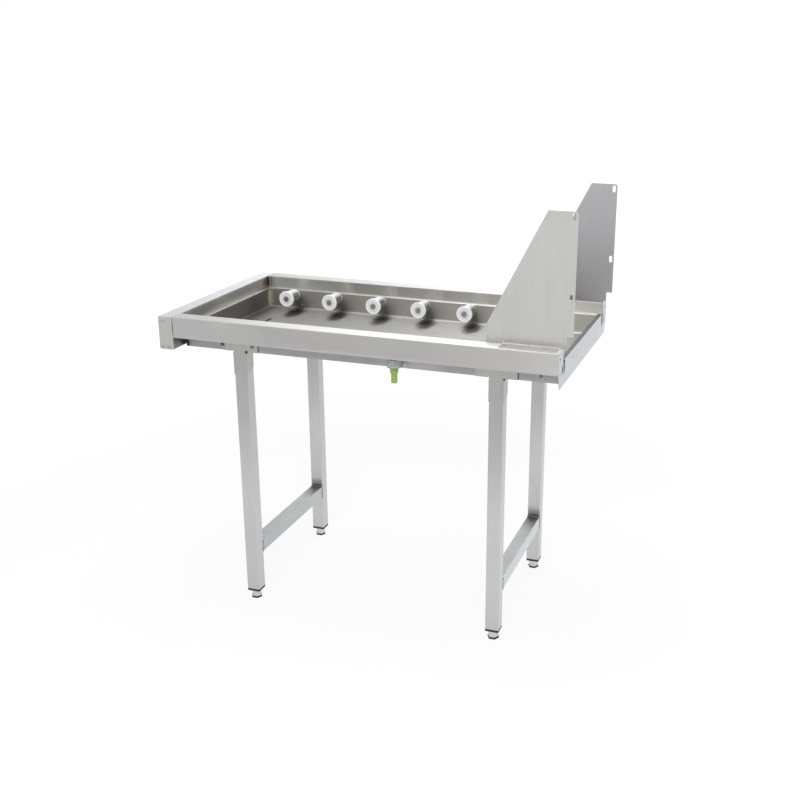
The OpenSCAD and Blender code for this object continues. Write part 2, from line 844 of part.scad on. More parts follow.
module tank_washers() color([0.68, 0.68, 0.68])
    at_tank_studs(y_leg) washer(tank_washer_d, stud_d + 2 * thread_clear, washer_t);

module tank_nuts() color([0.55, 0.55, 0.56])
    at_tank_studs(y_leg + washer_t) nut(tank_nut_hex, tank_nut_h, stud_d);

module bonding_screw() color([0.50, 0.50, 0.50])
    translate([bond_x, 0, z_stud]) mirror([0, 1, 0]) {
        round_y(bond_d, y_leg, y_leg + sheet);
        round_y(bond_head_d, y_leg + sheet, y_leg + sheet + bond_head_h);
    }

// Drain

// Draws a drain part on the housing's axis
module at_drain(z) {
    translate([x_drain, -y_drain, z]) children();
}

// Draws a drain part on the neck's axis, where Z runs outwards from the tank and starts at the given distance
module at_neck(y) {
    translate([x_drain, -y, z_neck]) rotate([90, 0, 0]) children();
}

module drain_housing() color([0.62, 0.66, 0.64]) difference() {
    neck_y = y_tank - ring_t;
    union() {
        at_drain(z_housing) rotate_extrude() intersection() {
            round_bottom(housing_d, housing_h, housing_edge);
            square([housing_d, housing_h]);
        }
        at_neck(neck_y) cylinder(h = y_drain - neck_y, d = neck_d);
        at_neck(y_tank_out + gasket_t) cylinder(h = y_drain - y_tank_out - gasket_t, d = gasket_d);
    }
    at_drain(z_housing + housing_wall)
        cylinder(h = housing_h - 2 * housing_wall, d = housing_d - 2 * housing_wall);
    at_neck(neck_y - overlap) cylinder(h = y_drain - neck_y + overlap, d = neck_bore);
    at_drain(z_housing - overlap) cylinder(h = housing_wall + 2 * overlap, d = neck_d);
}

module drain_gaskets() color([0.20, 0.21, 0.21]) {
    at_neck(y_tank_out) washer(gasket_d, neck_d + 2 * thread_clear, gasket_t);
    at_drain(z_housing - gasket_t) washer(collar_d, neck_d + 2 * thread_clear, gasket_t);
}

module drain_ring_nut() color([0.60, 0.64, 0.62])
    at_neck(y_tank - ring_t) difference() {
        cylinder(h = ring_t, d = ring_d);
        translate([0, 0, -overlap]) cylinder(h = ring_t + 2 * overlap, d = neck_d);
    }

module drain_spigot() color([0.55, 0.73, 0.27]) {
    collar_z = z_housing - gasket_t - collar_h;
    tail_z = collar_z - collar_taper_h - tail_l;
    whole_h = z_housing + collar_neck_l - tail_z;
    difference() {
        union() {
            at_drain(collar_z) cylinder(h = collar_h, d = collar_d);
            at_drain(collar_z) cylinder(h = collar_h + gasket_t + collar_neck_l, d = neck_d);
            at_drain(collar_z - collar_taper_h) cylinder(h = collar_taper_h, d1 = tail_d, d2 = collar_d);
            at_drain(tail_z) cylinder(h = tail_l, d = tail_d);
        }
        at_drain(tail_z - overlap) cylinder(h = whole_h + 2 * overlap, d = tail_bore);
    }
}

tank_floor();
tank_front_wall();
tank_rear_wall();
tank_end_walls();
floor_slot_seal();
front_rail();
rear_rail();
left_end_rail();
left_end_caps();
right_apron();
front_angle();
rear_angle();
bracket_front_left();
bracket_front_right();
bracket_rear_left();
bracket_rear_right();
leg_front_left();
leg_front_right();
leg_rear_left();
leg_rear_right();
crossbar_left();
crossbar_right();
leg_plugs();
plug_inserts();
foot_front_left();
foot_front_right();
foot_rear_left();
foot_rear_right();
foot_base_front_left();
foot_base_front_right();
foot_base_rear_left();
foot_base_rear_right();
roller_front_1();
roller_front_2();
roller_front_3();
roller_front_4();
roller_front_5();
roller_rear_1();
roller_rear_2();
roller_rear_3();
roller_rear_4();
roller_rear_5();
roller_axles();
roller_spacers();
roller_washers();
roller_nuts();
side_guide_front();
side_guide_rear();
guide_washers();
guide_nuts();
tank_washers();
tank_nuts();
bonding_screw();
drain_housing();
drain_gaskets();
drain_ring_nut();
drain_spigot();
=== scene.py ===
"""Looks of a dishwasher roller table: brushed steel, white stub rollers and a green spigot."""

import math
import random
from collections import namedtuple

import bmesh
import bpy
from mathutils import Matrix, Vector


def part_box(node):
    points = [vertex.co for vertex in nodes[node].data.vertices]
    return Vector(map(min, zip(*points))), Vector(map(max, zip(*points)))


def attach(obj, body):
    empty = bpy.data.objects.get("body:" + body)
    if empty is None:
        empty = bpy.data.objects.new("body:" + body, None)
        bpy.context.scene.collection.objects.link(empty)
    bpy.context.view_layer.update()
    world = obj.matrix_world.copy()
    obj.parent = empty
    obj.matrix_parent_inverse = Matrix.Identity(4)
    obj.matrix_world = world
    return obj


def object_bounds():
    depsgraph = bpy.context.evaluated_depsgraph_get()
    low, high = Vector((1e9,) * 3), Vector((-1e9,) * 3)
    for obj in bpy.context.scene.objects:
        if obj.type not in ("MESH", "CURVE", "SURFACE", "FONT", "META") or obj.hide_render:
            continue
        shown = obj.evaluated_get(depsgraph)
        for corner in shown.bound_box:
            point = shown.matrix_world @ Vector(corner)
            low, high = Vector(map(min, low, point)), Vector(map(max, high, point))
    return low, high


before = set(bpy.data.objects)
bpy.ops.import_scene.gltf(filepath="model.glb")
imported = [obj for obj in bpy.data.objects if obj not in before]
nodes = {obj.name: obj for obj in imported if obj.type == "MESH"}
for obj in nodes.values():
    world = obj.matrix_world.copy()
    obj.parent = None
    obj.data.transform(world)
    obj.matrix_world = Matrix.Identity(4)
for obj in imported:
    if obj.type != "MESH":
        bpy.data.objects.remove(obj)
cad_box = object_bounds()

# Camera of the photograph, in metres, radians and pixels

IMAGE_W = 800
FOCAL_PX = 1107.045
CENTRE_X_PX = 454.648
CENTRE_Y_PX = 402.147
SENSOR = 36.0
CAMERA_AT = (1.146183, -2.947109, 1.669248)
YAW, PITCH, ROLL = 0.314193, -0.326843, 0.006906


def make_camera():
    data = bpy.data.cameras.new("camera")
    data.sensor_width = SENSOR
    data.lens = SENSOR * FOCAL_PX / IMAGE_W
    data.shift_x = (IMAGE_W / 2 - CENTRE_X_PX) / IMAGE_W
    data.shift_y = (CENTRE_Y_PX - IMAGE_W / 2) / IMAGE_W
    camera = bpy.data.objects.new("camera", data)
    bpy.context.scene.collection.objects.link(camera)
    turn = (Matrix.Rotation(YAW, 4, "Z") @ Matrix.Rotation(math.pi / 2 + PITCH, 4, "X")
            @ Matrix.Rotation(ROLL, 4, "Z"))
    camera.matrix_world = Matrix.Translation(CAMERA_AT) @ turn
    bpy.context.scene.camera = camera


# Sizes of the table that the marks and small pieces use, in metres

X_LEFT, X_RIGHT = -0.592, 0.568
X_RAIL = -0.5485
TANK_X0 = -0.533
Y_RIM, Y_INNER, Y_TANK, Y_LEG = 0.3175, 0.2675, 0.252, 0.255
RIM_Z, LEDGE_Z, FLOOR_Z = 0.890, 0.855, 0.793
ROLLER_Z = 0.837
ROLLER_PITCH = 0.150
ROLLER_XS = [X_LEFT + 0.147 + ROLLER_PITCH * i for i in range(5)]
LEG_XS = (-0.373, 0.387)
LEG_END_Z = 0.032
LEG_Y = 0.235
HALF_LEG = 0.020
BAR_TOP = 0.145 + 2 * HALF_LEG
X_DRAIN, Y_DRAIN = 0.107, -0.27925

# Small helpers for shader nodes

AXES = {"x": 0, "y": 1, "z": 2}
SOFT_EDGE = 0.35

# A stain, or a painted light or shade, inside an ellipsoid, where no size on an axis means any
# distance along it
Mark = namedtuple("Mark", "at size colour strength ragged", defaults=[0.0])

# A tone, a painted light or a painted shade inside a box, which is given for the rear half and
# holds for both halves
Patch = namedtuple("Patch", "low high colour strength")


class Shader:
    """A material's node tree, with short calls for the nodes that the looks below use."""

    def __init__(self, name):
        self.material = bpy.data.materials.new(name)
        self.material.use_nodes = True
        self.tree = self.material.node_tree
        self.bsdf = self.tree.nodes["Principled BSDF"]
        self.output = self.tree.nodes["Material Output"]
        self.coord = self.tree.nodes.new("ShaderNodeTexCoord").outputs["Object"]
        self.axes = None

    def link(self, source, target):
        self.tree.links.new(source, target)

    def set(self, **values):
        for key, value in values.items():
            self.bsdf.inputs[key.replace("_", " ")].default_value = value

    def noise(self, scale, detail=3.0, distortion=0.0):
        """Noise with a scale per axis, in features per metre."""
        mapping = self.tree.nodes.new("ShaderNodeMapping")
        mapping.inputs["Scale"].default_value = scale
        self.link(self.coord, mapping.inputs["Vector"])
        noise = self.tree.nodes.new("ShaderNodeTexNoise")
        noise.inputs["Scale"].default_value = 1.0
        noise.inputs["Detail"].default_value = detail
        noise.inputs["Roughness"].default_value = 0.55
        noise.inputs["Distortion"].default_value = distortion
        self.link(mapping.outputs["Vector"], noise.inputs["Vector"])
        return noise.outputs["Fac"]

    def remap(self, source, low, high, to_low, to_high):
        node = self.tree.nodes.new("ShaderNodeMapRange")
        values = {"From Min": low, "From Max": high, "To Min": to_low, "To Max": to_high}
        for key, value in values.items():
            node.inputs[key].default_value = value
        self.link(source, node.inputs["Value"])
        return node.outputs["Result"]

    def math(self, operation, first, second=0.0):
        node = self.tree.nodes.new("ShaderNodeMath")
        node.operation = operation
        for socket, value in zip(node.inputs, (first, second)):
            if isinstance(value, (int, float)):
                socket.default_value = value
            else:
                self.link(value, socket)
        return node.outputs["Value"]

    def mix(self, factor, first, second):
        node = self.tree.nodes.new("ShaderNodeMix")
        node.data_type = "RGBA"
        self.link(factor, node.inputs["Factor"])
        for key, value in (("A", first), ("B", second)):
            socket = [s for s in node.inputs if s.name == key and s.type == "RGBA"][0]
            if isinstance(value, (tuple, list)):
                socket.default_value = (*value, 1.0)
            else:
                self.link(value, socket)
        return [s for s in node.outputs if s.type == "RGBA"][0]

    def place(self):
        """The point's X, Y and Z at rest, in metres."""
        if self.axes is None:
            split = self.tree.nodes.new("ShaderNodeSeparateXYZ")
            self.link(self.coord, split.inputs["Vector"])
            self.axes = {key: split.outputs[key.upper()] for key in AXES}
        return self.axes

    def spot(self, at, size, edge=SOFT_EDGE, ragged=0.0):
        """One inside an ellipsoid, with a soft edge and ragged by noise, and nothing outside."""
        total = None
        for key, centre, reach in zip("xyz", at, size):
            if reach is None:
                continue
            off = self.math("SUBTRACT", self.place()[key], centre)
            part = self.math("POWER", self.math("MULTIPLY", off, 1 / reach), 2)
            total = part if total is None else self.math("ADD", total, part)
        distance = self.math("SQRT", total)
        if ragged:
            finest = 0.002
            wobble = self.noise([3 / max(reach or 1, finest) for reach in size], detail=2.0)
            wobble = self.math("SUBTRACT", wobble, 0.5)
            distance = self.math("ADD", distance, self.math("MULTIPLY", wobble, ragged))
        return self.remap(distance, 1 - edge, 1 + edge, 1.0, 0.0)

    def within(self, low, high):
        """One inside a box, on both sides of the table's middle, and nothing outside."""
        total = None
        for key, start, end in zip("xyz", low, high):
            value = self.place()[key]
            if key == "y":
                value = self.math("ABSOLUTE", value)
            for operation, limit in (("GREATER_THAN", start), ("LESS_THAN", end)):
                part = self.math(operation, value, limit)
                total = part if total is None else self.math("MULTIPLY", total, part)
        return total

    def stained_and_shaded(self, colour, patches, marks):
        """The colour with the patches over it, and the marks over those: stains, and painted light
        and shade.
        """
        areas = [(self.within(patch.low, patch.high), patch) for patch in patches]
        areas += [(self.spot(mark.at, mark.size, ragged=mark.ragged), mark) for mark in marks]
        for area, overlay in areas:
            colour = self.mix(self.math("MULTIPLY", area, overlay.strength), colour, overlay.colour)
        return colour

    def bump(self, height, distance, strength):
        node = self.tree.nodes.new("ShaderNodeBump")
        node.inputs["Distance"].default_value = distance
        node.inputs["Strength"].default_value = strength
        self.link(height, node.inputs["Height"])
        self.link(node.outputs["Normal"], self.bsdf.inputs["Normal"])


def along(grain, lengthwise, across):
    """A noise scale that is drawn out along one axis."""
    scale = [across] * 3
    scale[AXES[grain]] = lengthwise
    return scale


def shades(tone, swing, tint):
    """A darker and a lighter colour round a tone."""
    return [c * (tone - swing) for c in tint], [c * (tone + swing) for c in tint]


# Brushed steel: the reflection spreads across the grain, so each sheet mirrors in long bars

GRAIN_TILT = 0.017
STEEL_SWING = 0.015
GRIT_DEPTH = 0.00003


def steel(name, grain, tone, tint=(1.0, 0.995, 0.985), rough=0.48, spread=0.88, marks=(),
          patches=()):
    s = Shader(name)
    s.set(Metallic=1.0, Roughness=rough, Anisotropic=spread, Anisotropic_Rotation=0.25)
    along_grain = s.tree.nodes.new("ShaderNodeCombineXYZ")
    for key, socket in zip("xyz", along_grain.inputs):
        socket.default_value = 1.0 if key == grain else GRAIN_TILT
    s.link(along_grain.outputs["Vector"], s.bsdf.inputs["Tangent"])
    fine = s.noise(along(grain, 16, 2600), detail=2.0)
    streaks = s.noise(along(grain, 2.5, 300))
    clouds = s.noise((4, 4, 4), detail=2.0)
    smears = s.noise(along(grain, 9, 34), distortion=0.6)
    shade = s.math("ADD", s.math("MULTIPLY", streaks, 0.55), s.math("MULTIPLY", clouds, 0.45))
    dark, light = shades(tone, STEEL_SWING, tint)
    colour = s.mix(s.remap(shade, 0.38, 0.62, 0.0, 1.0), dark, light)
    s.link(s.stained_and_shaded(colour, patches, marks), s.bsdf.inputs["Base Color"])
    grit = s.remap(fine, 0.25, 0.75, -0.05, 0.05)
    smeared = s.remap(smears, 0.35, 0.65, rough - 0.025, rough + 0.025)
    s.link(s.math("ADD", grit, smeared), s.bsdf.inputs["Roughness"])
    s.bump(s.math("ADD", fine, s.math("MULTIPLY", streaks, 0.4)), GRIT_DEPTH, strength=0.6)
    return s.material


def turned(name, tone, tint=(1.0, 0.99, 0.97), rough=0.28):
    """Turned or plated steel."""
    s = Shader(name)
    s.set(Metallic=1.0, Roughness=rough)
    clouds = s.noise((90, 90, 90))
    fine = s.noise((2400, 2400, 2400), detail=2.0)
    colour = s.mix(s.remap(clouds, 0.35, 0.65, 0.0, 1.0), *shades(tone, 0.05, tint))
    s.link(colour, s.bsdf.inputs["Base Color"])
    s.link(s.remap(fine, 0.3, 0.7, rough - 0.05, rough + 0.06), s.bsdf.inputs["Roughness"])
    s.bump(fine, distance=0.00002, strength=0.5)
    return s.material


def plastic(name, dark, light, rough=0.4, marks=()):
    s = Shader(name)
    s.set(Roughness=rough)
    clouds = s.noise((60, 60, 60))
    fine = s.noise((1800, 1800, 1800), detail=2.0)
    colour = s.mix(s.remap(clouds, 0.3, 0.7, 0.0, 1.0), dark, light)
    s.link(s.stained_and_shaded(colour, (), marks), s.bsdf.inputs["Base Color"])
    s.link(s.remap(fine, 0.3, 0.7, rough - 0.05, rough + 0.05), s.bsdf.inputs["Roughness"])
    s.bump(fine, GRIT_DEPTH, strength=0.5)
    return s.material


ROLLER_BODY_R = 0.0215
ROLLER_FACE_Y = 0.1972
ROLLER_UNDERSIDE_SHADE = (0.05, 0.039, 0.031)

# Where the face's bright ring, its grey hub and the painted shade on the body's underside begin and
# are full
RING_RADII = (0.0185, 0.0205)
HUB_RADII = (0.0125, 0.0105)
UNDERSIDE_SHADE_SLOPES = (0.98, 0.56)


def roller_plastic(name):
    """White moulded plastic: a bright ring round the face, and a body with painted shade below."""
    s = Shader(name)
    s.set(Roughness=0.33)
    fine = s.noise((1500, 1500, 1500), detail=2.0)
    clouds = s.noise((70, 70, 70))
    half = ROLLER_PITCH / 2
    shifted = s.math("ADD", s.place()["x"], half - ROLLER_XS[0])
    beside = s.math("SUBTRACT", s.math("FLOORED_MODULO", shifted, ROLLER_PITCH), half)
    above = s.math("SUBTRACT", s.place()["z"], ROLLER_Z)
    squares = s.math("ADD", s.math("POWER", beside, 2.0), s.math("POWER", above, 2.0))
    reach = s.math("SQRT", squares)
    white_mix = s.remap(clouds, 0.3, 0.7, 0.0, 1.0)
    base = s.mix(white_mix, (0.80, 0.81, 0.835), (0.85, 0.86, 0.88))
    base = s.mix(s.remap(reach, *RING_RADII, 0.0, 1.0), base, (0.93, 0.94, 0.945))
    base = s.mix(s.remap(reach, *HUB_RADII, 0.0, 0.55), base, (0.52, 0.54, 0.56))
    # Painted shade: the body darkens from its top towards its underside
    facing_up = s.math("DIVIDE", above, s.math("MAXIMUM", reach, 0.001))
    below = s.remap(facing_up, *UNDERSIDE_SHADE_SLOPES, 0.0, 0.95)
    behind = s.math("GREATER_THAN", s.math("ABSOLUTE", s.place()["y"]), ROLLER_FACE_Y)
    smooth = s.math("LESS_THAN", reach, ROLLER_BODY_R)
    underside_shade = s.math("MULTIPLY", below, s.math("MULTIPLY", behind, smooth))
    streaks = s.remap(s.noise((420, 30, 420), detail=2.0), 0.3, 0.7, 0.75, 1.1)
    s.link(s.mix(s.math("MULTIPLY", underside_shade, streaks), base, ROLLER_UNDERSIDE_SHADE),
           s.bsdf.inputs["Base Color"])
    s.link(s.remap(fine, 0.3, 0.7, 0.28, 0.38), s.bsdf.inputs["Roughness"])
    s.bump(fine, GRIT_DEPTH, strength=0.4)
    return s.material


def dress(material, *names):
    for name in names:
        data = nodes[name].data
        data.materials.clear()
        data.materials.append(material)


# Colours of the stains, and of painted shade, shadows and highlights

# Brown: wear on the end caps, and painted shade on the tank walls below the rollers
WEAR_AND_SHADE = (0.16, 0.13, 0.10)
WELD_TAN = (0.16, 0.09, 0.05)
# Near black: dark seams and joint lines, the centre of a weld stain, and painted shade in slits,
# holes, gaps and corners
SEAM_STAIN_AND_SHADE = (0.012, 0.010, 0.009)
SHADED = (0.06, 0.06, 0.06)
# Painted highlight along the tank's folds
FOLD_HIGHLIGHT = (0.62, 0.60, 0.57)
ROLLER_SHADOW = (0.045, 0.034, 0.026)

# Tones of the steel outside and inside the tank

OUTER = 0.49
TANK = 0.40

# Half the depth of a patch that lies on one plane only
SKIN = 0.0006
FAR = 1.0


# Painted light on the top faces of the rims and the left end member
def lit_top_patch(*colour):
    return Patch((-FAR, 0.0, RIM_Z - SKIN), (FAR, FAR, RIM_Z + SKIN), colour, 1.0)


# Painted highlights, shadows and shade in the tank, and a lighter mark in its rear left corner

# Painted highlights along the ledge and along the fold at the foot of the tank walls
ledge_highlights = [Mark((0.0, 0.0, LEDGE_Z), (None, None, 0.0015), FOLD_HIGHLIGHT, 0.75),
               Mark((0.0, 0.0, FLOOR_Z + 0.0030), (None, None, 0.0020), FOLD_HIGHLIGHT, 0.35)]
# Painted shadows of the rollers on the tank floor
floor_shadows = [Mark((x + 0.018 + 0.009 * side, side * 0.192, FLOOR_Z), (0.024, 0.055, None),
                    ROLLER_SHADOW, 0.84, 0.6)
               for x in ROLLER_XS for side in (-1, 1)]
# Painted shade on the floor towards the right end of the tank
floor_shadows += [Mark((0.560, 0.0, FLOOR_Z), (0.045, None, None), (0.17, 0.17, 0.155), 0.75, 0.4),
                Mark((0.44, 0.0, FLOOR_Z), (0.16, None, None), (0.255, 0.255, 0.24), 0.6, 0.4)]
# Painted shade on the tank walls below each roller
wall_light_and_shade = [Mark((x, Y_TANK, 0.800), (0.03, None, 0.02), WEAR_AND_SHADE, 0.25, 0.4) for x in ROLLER_XS]
wall_light_and_shade += ledge_highlights
# A painted bright spot on the rear wall beside the first roller, and painted light on the walls
# towards the right end
wall_light_and_shade += [
    Mark((-0.4197, Y_TANK, 0.807), (0.0045, 0.006, 0.0045), (0.90, 0.86, 0.76), 0.8, 0.2),
    Mark((0.56, Y_TANK, 0.83), (0.13, 0.010, None), (0.55, 0.53, 0.46), 0.55, 0.3)]
corner_marks = [
    Mark((TANK_X0, Y_TANK, 0.826), (0.015, 0.016, 0.032), (0.55, 0.52, 0.46), 0.7, 0.3)]

# Stains, painted highlights and painted light and shade on the rims, the left end member, its caps
# and the apron

GLINT = (0.50, 0.48, 0.44)
rear_glints = [Mark((x + 0.040, Y_INNER, 0.875), (0.015, 0.006, None), GLINT, 0.6, 0.6)
               for x in ROLLER_XS]
rear_glints += [Mark((0.60, Y_INNER, 0.875), (0.15, 0.006, None), (0.62, 0.61, 0.57), 0.7, 0.3)]

# A painted highlight along the front rail's lower edge, a darker patch on the front rim's top
# beside the guide's foot, painted light and shade that set the rails' brightness over their right
# halves and at their left ends, a dark seam at the end cap and weld tint at the rear rim's left end
rim_stains_light_and_shade = [
    Mark((0.08, -Y_RIM, 0.8310), (0.30, 0.003, 0.0065), (0.62, 0.62, 0.65), 0.7),
    Mark((0.383, -0.283, RIM_Z), (0.022, 0.016, 0.001), (0.36, 0.35, 0.32), 0.6, 0.5),
    Mark((0.60, -Y_RIM, 0.86), (0.60, None, None), (0.455, 0.45, 0.43), 0.6),
    Mark((-0.55, -Y_RIM, 0.86), (0.22, None, None), (0.56, 0.56, 0.56), 0.6),
    Mark((X_RAIL, -Y_RIM, 0.861), (0.0022, None, 0.029), SEAM_STAIN_AND_SHADE, 0.95),
    Mark((X_RAIL + 0.004, Y_INNER, 0.872), (0.0025, 0.004, 0.018), WELD_TAN, 0.85, 0.4),
    Mark((X_RAIL + 0.014, Y_INNER, 0.872), (0.004, 0.004, 0.02), WELD_TAN, 0.55, 0.7),
    Mark((X_RAIL + 0.024, Y_INNER, 0.870), (0.0025, 0.004, 0.018), WELD_TAN, 0.5, 0.7)]
rim_inside = Patch((-FAR, 0.2687, 0.8312), (FAR, 0.3163, 0.8888), SHADED, 0.8)
# Painted shade on the rear rim's inner wall, darker and warmer than its steel
shaded_rear_wall = Patch((-FAR, 0.2660, 0.8560), (FAR, 0.2686, 0.8870), (0.335, 0.325, 0.295), 0.85)

END_FACE = Patch((X_RAIL - SKIN, 0.0, 0.8545), (X_RAIL + SKIN, 0.2680, 0.8880),
                 (0.38, 0.368, 0.345), 0.9)
end_marks = [Mark((X_RAIL, -0.16, 0.872), (0.0012, 0.11, 0.015), (0.13, 0.12, 0.105), 0.6, 0.6),
             Mark((X_RAIL, 0.10, 0.876), (0.0012, 0.15, 0.014), (0.16, 0.15, 0.135), 0.5, 0.6),
             Mark((X_RAIL, 0.262, 0.872), (0.0012, 0.03, 0.015), (0.09, 0.08, 0.07), 0.7, 0.6)]
cap_marks = [Mark((X_LEFT + 0.008, -Y_RIM, 0.802), (0.006, 0.02, 0.004), WEAR_AND_SHADE, 0.35, 0.5),
             Mark((X_LEFT + 0.030, -Y_RIM, 0.801), (0.007, 0.02, 0.004), WEAR_AND_SHADE, 0.35, 0.5),
             Mark((X_LEFT + 0.014, -Y_RIM, 0.877), (0.011, 0.02, 0.003), WEAR_AND_SHADE, 0.22, 0.5)]

# Painted shade over the slits and holes at an end of the apron, reaching past their edges: distance
# from the middle, height, half sizes, strength
EAR_CUT_SHADE = ((0.2525, 0.839, 0.0088, 0.0185, 0.94), (0.258, 0.8545, 0.013, 0.0024, 0.9),
            (0.275, 0.837, 0.0068, 0.0135, 0.82), (0.300, 0.871, 0.0045, 0.0040, 0.85),
            (0.299, 0.829, 0.0035, 0.0030, 0.5), (0.148, 0.836, 0.0040, 0.0035, 0.6))
apron_cut_shade = [Mark((X_RIGHT, side * y, z), (0.05, half_w, half_h), SEAM_STAIN_AND_SHADE, strength)
               for side in (-1, 1) for y, z, half_w, half_h, strength in EAR_CUT_SHADE]
# Painted shade on the top of the apron's inward lip
apron_lip_shade = Patch((0.50, 0.0, 0.850), (0.5664, 0.2495, 0.858), (0.11, 0.115, 0.105), 0.9)

# A darker, warmer tone on the guides' feet, and two short dark strokes on the front guide's foot

foot_patch = Patch((0.3, 0.2735, 0.8890), (0.60, 0.3095, 0.8960), (0.33, 0.325, 0.295), 0.75)
tick_marks = [Mark((x, -0.289, 0.892), (0.0016, 0.0065, 0.003), SEAM_STAIN_AND_SHADE, 0.75, 0.3)
              for x in (0.4035, 0.4149)]

# Painted light and shade, dark joint lines and a weld stain on the legs, their brackets, the
# crossbars and the angles

# Painted shade in the bracket holes
HOLE_R = 0.0046
FRONT_HOLES = ((-0.351, -Y_LEG, 0.7895), (0.409, -0.2505, 0.7868))
REAR_HOLES = tuple((x + HALF_LEG + 0.002, Y_LEG, 0.7895) for x in LEG_XS)
hole_shade = [Mark(at, (HOLE_R, 0.006, HOLE_R), SEAM_STAIN_AND_SHADE, 1.0) for at in FRONT_HOLES + REAR_HOLES]

# Painted light over the lower part of the legs
leg_light_and_shade = [Mark((0.0, 0.0, 0.25), (None, None, reach), (0.68, 0.685, 0.69), 0.40)
             for reach in (0.16, 0.25, 0.34)]
# A dark joint line at the top of the leg plugs
leg_light_and_shade += [Mark((0.0, 0.0, LEG_END_Z), (None, None, 0.0015), SEAM_STAIN_AND_SHADE, 0.95)]
# Painted shade on the legs just above the crossbars
leg_light_and_shade += [Mark((0.0, LEG_Y - HALF_LEG, BAR_TOP + 0.004), (None, 0.003, tall), SEAM_STAIN_AND_SHADE, 0.36, 0.2)
              for tall in (0.006, 0.022)]
# Painted light on the legs' right sides
lit_leg_sides = [Patch((x + HALF_LEG - SKIN, 0.0, 0.0), (x + HALF_LEG + SKIN, FAR, 0.8),
                   (0.55, 0.555, 0.575), 0.85)
             for x in LEG_XS]

# Painted shade on the crossbars' tops where they meet the rear legs
bar_shade_and_light = [Mark((0.0, LEG_Y - HALF_LEG, BAR_TOP), (None, reach, 0.001), SEAM_STAIN_AND_SHADE, 0.26, 0.3)
             for reach in (0.018, 0.045, 0.085)]
# Painted light on the right crossbar's right side
bar_shade_and_light += [Mark((LEG_XS[1] + HALF_LEG, 0.0, BAR_TOP - HALF_LEG),
                   (0.003, None, HALF_LEG * 1.1), (0.64, 0.65, 0.68), 0.9)]
BAR_TOP_LOW, BAR_TOP_HIGH = BAR_TOP - 0.0008, BAR_TOP + 0.001
# Painted shade on the crossbars' tops, deeper on the right one
shaded_bar_tops = [Patch((-FAR, 0.0, BAR_TOP_LOW), (0.0, FAR, BAR_TOP_HIGH), (0.37, 0.37, 0.38), 0.9),
            Patch((0.0, 0.0, BAR_TOP_LOW), (FAR, FAR, BAR_TOP_HIGH), (0.29, 0.29, 0.30), 0.9)]

# A weld stain with a dark centre at the front angle's left end
angle_stains_light_and_shade = [Mark((-0.541, -Y_LEG, 0.806), (0.010, None, 0.03), WELD_TAN, 0.7, 0.6),
               Mark((-0.541, -Y_LEG, 0.802), (0.004, None, 0.018), SEAM_STAIN_AND_SHADE, 0.9, 0.4),
               # Painted light on the front angle beside the drain housing
               Mark((0.165, -Y_LEG, 0.805), (0.060, 0.003, 0.030), (0.47, 0.47, 0.49), 0.8),
               Mark((0.1235, -Y_LEG, 0.805), (0.0085, 0.003, 0.030), (0.78, 0.76, 0.80), 1.0)]
# Painted shade at the ends of the bracket wings on the front angle
angle_stains_light_and_shade += [Mark((x, -Y_LEG, 0.799), (0.0020, 0.003, 0.013), SEAM_STAIN_AND_SHADE, 0.75, 0.2)
                for x in (-0.3138, 0.4467)]

# Painted light on the drain housing's top and right side
housing_painted_light = [
    Mark((X_DRAIN, Y_DRAIN, 0.824), (0.03, 0.03, 0.007), (0.58, 0.62, 0.63), 0.85),
    Mark((X_DRAIN + 0.020, Y_DRAIN - 0.004, 0.811), (0.009, 0.016, 0.020), (0.50, 0.54, 0.56), 0.8)]

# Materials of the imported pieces

FEET = [f"{end}_{side}" for end in ("front", "rear") for side in ("left", "right")]
ROLLERS = [f"roller_{end}_{i}" for end in ("front", "rear") for i in range(1, 6)]

dress(steel("steel_rims", "x", OUTER + 0.005, marks=rim_stains_light_and_shade,
            patches=[rim_inside, lit_top_patch(0.60, 0.60, 0.60)]),
      "front_rail")
# Painted shade: the rear rim's steel is a darker copy of the front rim's
dress(steel("steel_rear_rim", "x", 0.42, marks=rim_stains_light_and_shade + rear_glints,
            patches=[shaded_rear_wall, rim_inside, lit_top_patch(0.525, 0.525, 0.52)]),
      "rear_rail")
dress(steel("steel_end_member", "y", 0.40, tint=(0.97, 0.975, 1.0), marks=end_marks,
            patches=[lit_top_patch(0.515, 0.52, 0.545), END_FACE]),
      "left_end_rail")
dress(steel("steel_end_caps", "z", OUTER + 0.08, marks=cap_marks), "left_end_caps")
# The apron's bluish tint and lighter tone are painted cool light from the right
dress(steel("steel_apron", "y", 0.58, tint=(0.91, 0.96, 1.0), marks=apron_cut_shade,
            patches=[apron_lip_shade]),
      "right_apron")
dress(steel("steel_guides", "z", 0.59, tint=(1.0, 1.0, 0.975), rough=0.42, marks=tick_marks,
            patches=[foot_patch]),
      "side_guide_front")
